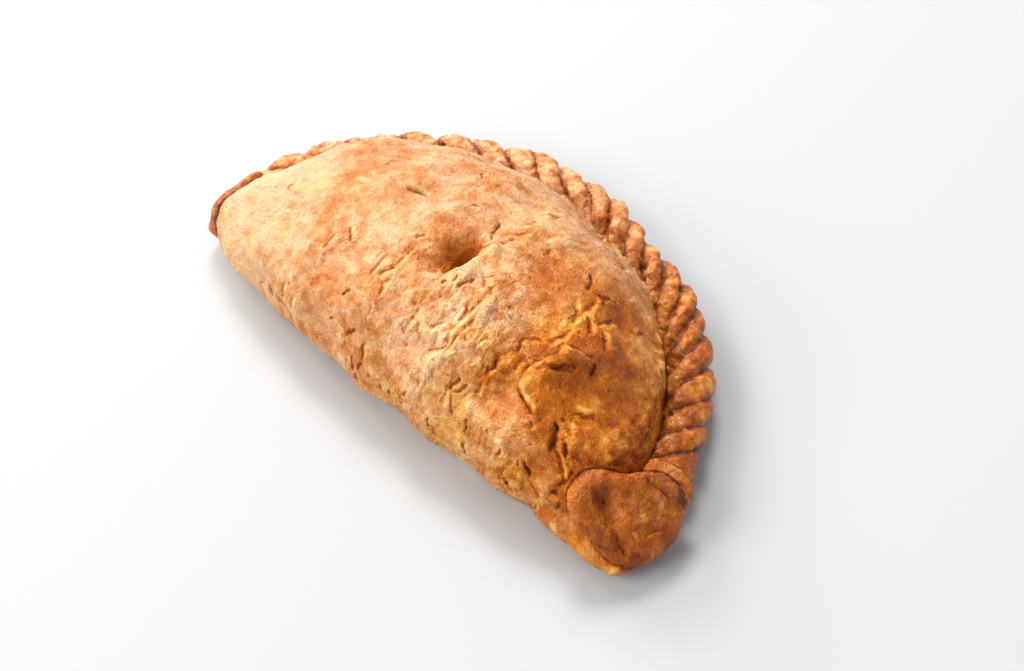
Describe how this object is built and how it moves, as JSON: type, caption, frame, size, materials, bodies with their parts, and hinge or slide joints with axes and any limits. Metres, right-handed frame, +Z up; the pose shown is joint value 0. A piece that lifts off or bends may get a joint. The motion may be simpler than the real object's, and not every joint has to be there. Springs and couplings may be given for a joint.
{
  "type": "cornish pasty",
  "caption": "Baked half-moon pasty: a domed pastry case over its filling, with a rope crimp round the curved side and the ends of the crimp folded over onto the case.",
  "frame": {"origin": "centre of the pasty's bounding box in plan, on the surface that it lies on", "axes": "+X along the length, towards the end with the large folded tab; +Y towards the crimped, curved side; +Z up"},
  "size_m": [0.2093, 0.1208, 0.0509],
  "materials": {
    "crust": "baked pastry with an egg glaze, satin where the glaze is thick and dry where it flakes"
  },
  "bodies": {
    "root": {"pasty": "crust"}
  },
  "joints": []
}
